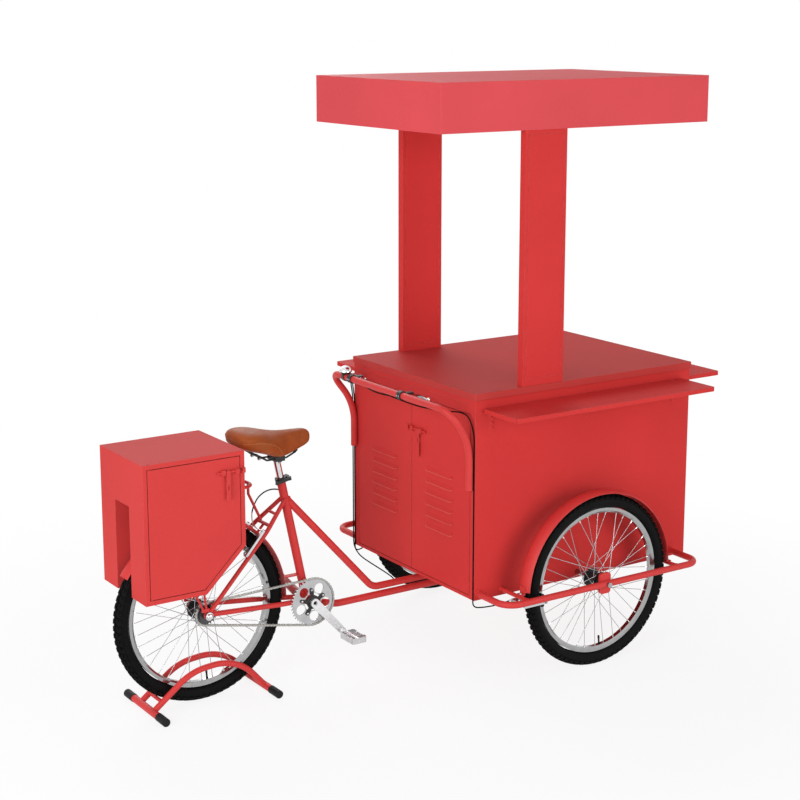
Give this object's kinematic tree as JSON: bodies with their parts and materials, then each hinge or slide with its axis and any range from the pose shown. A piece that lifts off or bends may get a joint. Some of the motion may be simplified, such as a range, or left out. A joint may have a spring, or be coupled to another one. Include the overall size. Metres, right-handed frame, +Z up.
{
  "type": "pedal food cart",
  "caption": "Pedal food cart: a louvred counter box with drop shelves and a roof on guarded wheels, steered by a handlebar and pushed by a saddle, crank and rear wheel.",
  "frame": {"origin": "middle of the cart's footprint at floor level", "axes": "+X forward, from the rear wheel to the counter box; +Y to the rider's left; +Z up"},
  "size_m": [2.4536, 1.212, 2.195],
  "materials": {
    "red_paint": "satin powder coat",
    "leather": "smooth tan leather",
    "tyre": "matte rubber",
    "rim_silver": "polished",
    "bright_steel": "bright plated",
    "black_metal": "satin black",
    "silver_metal": "satin",
    "black_rubber": "matte",
    "cable_jacket": "matte",
    "bare_steel": "oiled"
  },
  "bodies": {
    "cart": {"chassis": "red_paint", "king_pin": "bare_steel", "cart_box": "red_paint", "counter_top": "red_paint", "roof_posts": "red_paint", "roof": "red_paint", "wheel_guards": "red_paint", "front_fenders": "red_paint", "front_axles": "bare_steel", "front_brakes": "silver_metal", "handlebar": "red_paint", "lever_mounts": "black_metal", "bell": "bright_steel", "front_brake_cables": "cable_jacket", "rear_brake_cable": "cable_jacket"},
    "rear_frame": {"frame_main": "red_paint", "rear_triangle": "red_paint", "rear_fender": "red_paint", "box_carrier": "red_paint", "rear_box": "red_paint", "rear_axle": "bare_steel", "seat_clamp": "black_metal", "chain": "bare_steel"},
    "rear_box_door": {"rear_box_door": "red_paint"},
    "rear_box_bolt": {"rear_box_bolt": "red_paint"},
    "seat": {"saddle": "leather", "saddle_frame": "black_metal", "seat_post": "bright_steel"},
    "clamp_lever": {"seat_clamp_lever": "black_metal"},
    "brake_arm_right": {"rear_brake_arm_right": "silver_metal"},
    "brake_arm_left": {"rear_brake_arm_left": "silver_metal"},
    "rear_wheel": {"rear_tyre": "tyre", "rear_rim": "rim_silver", "rear_spokes": "bright_steel", "rear_hub": "black_metal"},
    "freewheel": {"freewheel": "bare_steel"},
    "crank": {"chainring": "bright_steel", "crank_spider": "black_metal", "crank_arms": "bright_steel", "spindle": "bare_steel"},
    "pedal_right": {"pedal_right": "silver_metal"},
    "pedal_left": {"pedal_left": "silver_metal"},
    "stand": {"stand": "red_paint", "stand_feet": "black_rubber"},
    "door_right": {"door_right": "red_paint"},
    "door_left": {"door_left": "red_paint"},
    "door_bolt": {"door_bolt": "red_paint"},
    "shelf_right": {"shelf_right": "red_paint"},
    "shelf_left": {"shelf_left": "red_paint"},
    "shelf_front": {"shelf_front": "red_paint"},
    "front_right_wheel": {"front_right_tyre": "tyre", "front_right_rim": "rim_silver", "front_right_spokes": "bright_steel", "front_right_hub": "black_metal"},
    "front_left_wheel": {"front_left_tyre": "tyre", "front_left_rim": "rim_silver", "front_left_spokes": "bright_steel", "front_left_hub": "black_metal"},
    "brake_lever_right": {"brake_lever_right": "silver_metal"},
    "brake_lever_left": {"brake_lever_left": "silver_metal"}
  },
  "joints": [
    {"name": "steer", "type": "hinge", "parent": "cart", "child": "rear_frame", "pos_m": [0.50675, 0, 0.26], "axis": [0, 0, 1], "range_deg": [-35, 35], "deforming": ["rear_brake_cable"]},
    {"name": "rear_wheel_spin", "type": "hinge", "parent": "rear_frame", "child": "rear_wheel", "pos_m": [-0.89325, 0, 0.3335], "axis": [0, 1, 0], "continuous": true},
    {"name": "crank_spin", "type": "hinge", "parent": "rear_frame", "child": "crank", "pos_m": [-0.4536, 0, 0.2935], "axis": [0, 1, 0], "continuous": true, "deforming": ["chain"]},
    {"name": "freewheel_spin", "type": "hinge", "parent": "rear_frame", "child": "freewheel", "pos_m": [-0.89325, -0.048, 0.3335], "axis": [0, 1, 0], "continuous": true},
    {"name": "pedal_right_spin", "type": "hinge", "parent": "crank", "child": "pedal_right", "pos_m": [-0.33316, -0.14, 0.15973], "axis": [0, 1, 0], "continuous": true},
    {"name": "pedal_left_spin", "type": "hinge", "parent": "crank", "child": "pedal_left", "pos_m": [-0.57405, 0.14, 0.42727], "axis": [0, 1, 0], "continuous": true},
    {"name": "seat_height", "type": "slide", "parent": "rear_frame", "child": "seat", "axis": [-0.2078, 0, 0.9782], "range_m": [0, 0.08]},
    {"name": "clamp_lever_swing", "type": "hinge", "parent": "rear_frame", "child": "clamp_lever", "pos_m": [-0.52857, -0.0204, 0.77153], "axis": [-0.2078, 0, 0.9782], "range_deg": [0, 110]},
    {"name": "brake_arm_right_squeeze", "type": "hinge", "parent": "rear_frame", "child": "brake_arm_right", "pos_m": [-0.72035, -0.05846, 0.5182], "axis": [-0.73, 0, 0.6834], "range_deg": [0, 3.5]},
    {"name": "brake_arm_left_squeeze", "type": "hinge", "parent": "rear_frame", "child": "brake_arm_left", "pos_m": [-0.72035, 0.05846, 0.5182], "axis": [0.73, 0, -0.6834], "range_deg": [0, 3.5]},
    {"name": "rear_box_door_swing", "type": "hinge", "parent": "rear_frame", "child": "rear_box_door", "pos_m": [-1.15425, -0.166, 0.7], "axis": [0, 0, -1], "range_deg": [0, 100]},
    {"name": "rear_box_bolt_slide", "type": "slide", "parent": "rear_box_door", "child": "rear_box_bolt", "axis": [1, 0, 0], "range_m": [0, 0.02]},
    {"name": "stand_drop", "type": "slide", "parent": "rear_frame", "child": "stand", "axis": [0, 0, -1], "range_m": [0, 0.2]},
    {"name": "front_right_wheel_spin", "type": "hinge", "parent": "cart", "child": "front_right_wheel", "pos_m": [0.50675, -0.522, 0.3335], "axis": [0, 1, 0], "continuous": true},
    {"name": "front_left_wheel_spin", "type": "hinge", "parent": "cart", "child": "front_left_wheel", "pos_m": [0.50675, 0.522, 0.3335], "axis": [0, 1, 0], "continuous": true},
    {"name": "door_right_swing", "type": "hinge", "parent": "cart", "child": "door_right", "pos_m": [0.02675, -0.372, 0.66], "axis": [0, 0, 1], "range_deg": [0, 90]},
    {"name": "door_left_swing", "type": "hinge", "parent": "cart", "child": "door_left", "pos_m": [0.02675, 0.372, 0.66], "axis": [0, 0, -1], "range_deg": [0, 90]},
    {"name": "door_bolt_slide", "type": "slide", "parent": "door_right", "child": "door_bolt", "axis": [0, 1, 0], "range_m": [0, 0.025]},
    {"name": "shelf_right_drop", "type": "hinge", "parent": "cart", "child": "shelf_right", "pos_m": [0.53175, -0.421, 1.022], "axis": [1, 0, 0], "range_deg": [0, 90]},
    {"name": "shelf_left_drop", "type": "hinge", "parent": "cart", "child": "shelf_left", "pos_m": [0.53175, 0.421, 1.022], "axis": [-1, 0, 0], "range_deg": [0, 90]},
    {"name": "shelf_front_drop", "type": "hinge", "parent": "cart", "child": "shelf_front", "pos_m": [1.06875, 0, 1.022], "axis": [0, 1, 0], "range_deg": [0, 90]},
    {"name": "brake_lever_right_pull", "type": "hinge", "parent": "cart", "child": "brake_lever_right", "pos_m": [-0.05525, -0.1, 1.04], "axis": [0, 0, -1], "range_deg": [0, 10], "stiffness_Nm_per_rad": 0.5, "springref_deg": -5.73},
    {"name": "brake_lever_left_pull", "type": "hinge", "parent": "cart", "child": "brake_lever_left", "pos_m": [-0.05525, 0.246, 1.04], "axis": [0, 0, 1], "range_deg": [0, 10], "stiffness_Nm_per_rad": 0.5, "springref_deg": -5.73}
  ],
  "couplings": [
    {"joint": "freewheel_spin", "follows": "crank_spin", "ratio": 2.2},
    {"joint": "brake_arm_right_squeeze", "follows": "brake_lever_left_pull", "ratio": 0.35},
    {"joint": "brake_arm_left_squeeze", "follows": "brake_lever_left_pull", "ratio": 0.35}
  ]
}
